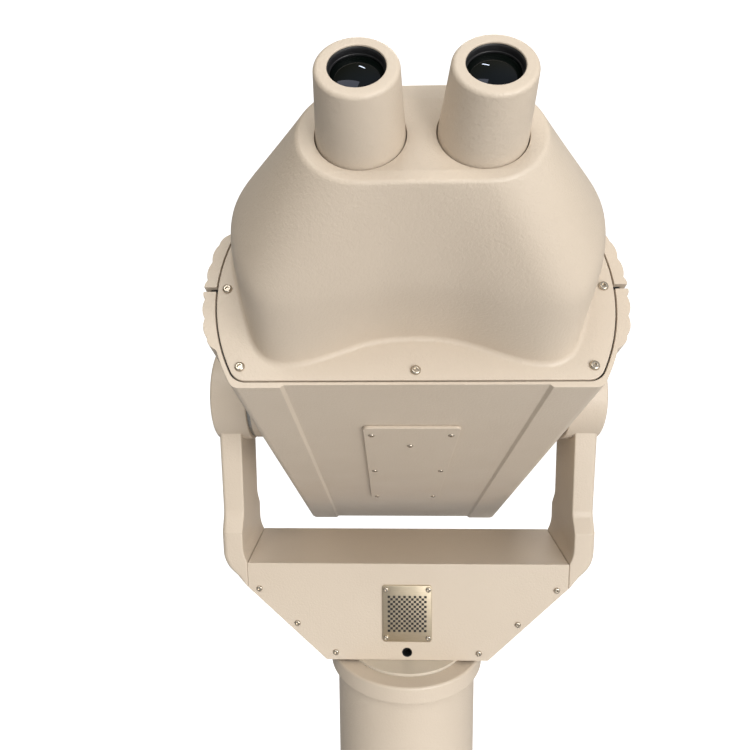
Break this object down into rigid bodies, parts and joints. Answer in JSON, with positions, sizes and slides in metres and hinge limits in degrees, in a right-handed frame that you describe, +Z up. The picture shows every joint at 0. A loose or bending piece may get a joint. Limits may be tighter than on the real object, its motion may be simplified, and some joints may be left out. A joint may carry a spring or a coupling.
{
  "type": "coin operated binoculars",
  "caption": "Pay-to-use viewing binoculars on a round column: panning yoke, tilting twin-eyepiece head, focusing eyepieces and a timed shutter inside.",
  "frame": {"origin": "centre of the base flange's underside, on the ground", "axes": "+Z up along the column; the user stands on the -Y side and looks towards +Y; +X to the user's right"},
  "size_m": [0.3932, 0.5873, 1.6193],
  "materials": {
    "powder_coat": "cast or extruded aluminium with a satin, fine-texture beige powder coat",
    "powder_coat_steel": "steel with the same satin beige powder coat",
    "payment_metal": null,
    "stainless": "stainless fasteners",
    "machined_steel": "machined steel",
    "bearing_bronze": "bearing bronze",
    "cast_aluminium": "bare machined aluminium",
    "black_anodised": "matt black anodised aluminium",
    "nylon": "pale bearing plastic",
    "seal_rubber": "black rubber",
    "optical_glass": "coated optical glass",
    "circuit_board": "circuit board",
    "battery_case": "plastic battery case",
    "motor_case": "moulded actuator body"
  },
  "bodies": {
    "pedestal": {"base_flange": "powder_coat_steel", "column_tube": "powder_coat_steel", "column_cap": "powder_coat_steel", "thrust_washer": "nylon", "pan_spindle": "machined_steel", "spindle_bolts": "machined_steel", "pan_nut": "machined_steel", "pan_washer": "machined_steel"},
    "yoke": {"yoke_base": "powder_coat", "front_plate": "powder_coat", "rear_plate": "powder_coat", "payment_plate": "payment_metal", "yoke_plate_screws": "stainless", "payment_plate_screws": "stainless", "arm_bolts": "machined_steel", "pan_bushes": "bearing_bronze", "pan_drag_screw": "machined_steel", "battery_pack": "battery_case", "control_board": "circuit_board", "signal_cable": "seal_rubber", "left_arm": "powder_coat", "right_arm": "powder_coat", "hub_caps": "powder_coat", "tilt_bushes": "bearing_bronze", "tilt_washers": "machined_steel", "tilt_stop_pin": "machined_steel"},
    "head": {"housing_lower": "powder_coat", "housing_upper": "powder_coat", "parting_seals": "seal_rubber", "rear_bulkhead": "cast_aluminium", "front_bulkhead": "cast_aluminium", "rear_cover": "powder_coat", "cover_screws": "stainless", "front_cover": "powder_coat", "front_windows": "optical_glass", "objective_tubes": "black_anodised", "objective_lenses": "optical_glass", "tube_saddles": "cast_aluminium", "optical_bench": "cast_aluminium", "side_plates": "cast_aluminium", "left_trunnion": "powder_coat_steel", "right_trunnion": "powder_coat_steel", "trunnion_bolts": "machined_steel", "tilt_nuts": "machined_steel", "prism_housings": "black_anodised", "prisms": "optical_glass", "shutter_bracket": "cast_aluminium", "shutter_motor": "motor_case", "eyepiece_plate": "cast_aluminium", "eyepiece_posts": "cast_aluminium", "focus_guides": "black_anodised", "access_plate": "powder_coat", "access_plate_screws": "stainless"},
    "shutter": {"shutter_blade": "black_anodised"},
    "left_focus_carriage": {"left_lens_cell": "black_anodised", "left_eye_lens": "optical_glass"},
    "left_eyepiece_ring": {"left_eyepiece": "powder_coat"},
    "right_focus_carriage": {"right_lens_cell": "black_anodised", "right_eye_lens": "optical_glass"},
    "right_eyepiece_ring": {"right_eyepiece": "powder_coat"}
  },
  "joints": [
    {"name": "pan", "type": "hinge", "parent": "pedestal", "child": "yoke", "pos_m": [0, 0, 1.1], "axis": [0, 0, 1], "continuous": true},
    {"name": "tilt", "type": "hinge", "parent": "yoke", "child": "head", "pos_m": [0, 0, 1.3825], "axis": [-1, 0, 0], "range_deg": [-62.75, 7.25]},
    {"name": "shutter_turn", "type": "hinge", "parent": "head", "child": "shutter", "pos_m": [0, -0.14195, 1.47606], "axis": [0, -0.841, 0.541], "range_deg": [0, 60]},
    {"name": "left_focus_slide", "type": "slide", "parent": "head", "child": "left_focus_carriage", "axis": [0, -0.841, 0.541], "range_m": [-0.0031, 0.0031]},
    {"name": "left_eyepiece_turn", "type": "hinge", "parent": "left_focus_carriage", "child": "left_eyepiece_ring", "pos_m": [-0.032, -0.31857, 1.58967], "axis": [0, -0.841, 0.541], "range_deg": [-90, 90]},
    {"name": "right_focus_slide", "type": "slide", "parent": "head", "child": "right_focus_carriage", "axis": [0, -0.841, 0.541], "range_m": [-0.0031, 0.0031]},
    {"name": "right_eyepiece_turn", "type": "hinge", "parent": "right_focus_carriage", "child": "right_eyepiece_ring", "pos_m": [0.032, -0.31857, 1.58967], "axis": [0, -0.841, 0.541], "range_deg": [-90, 90]}
  ],
  "couplings": [
    {"joint": "left_focus_slide", "follows": "left_eyepiece_turn", "m_per_rad": 0.0019099},
    {"joint": "right_focus_slide", "follows": "right_eyepiece_turn", "m_per_rad": 0.0019099}
  ]
}
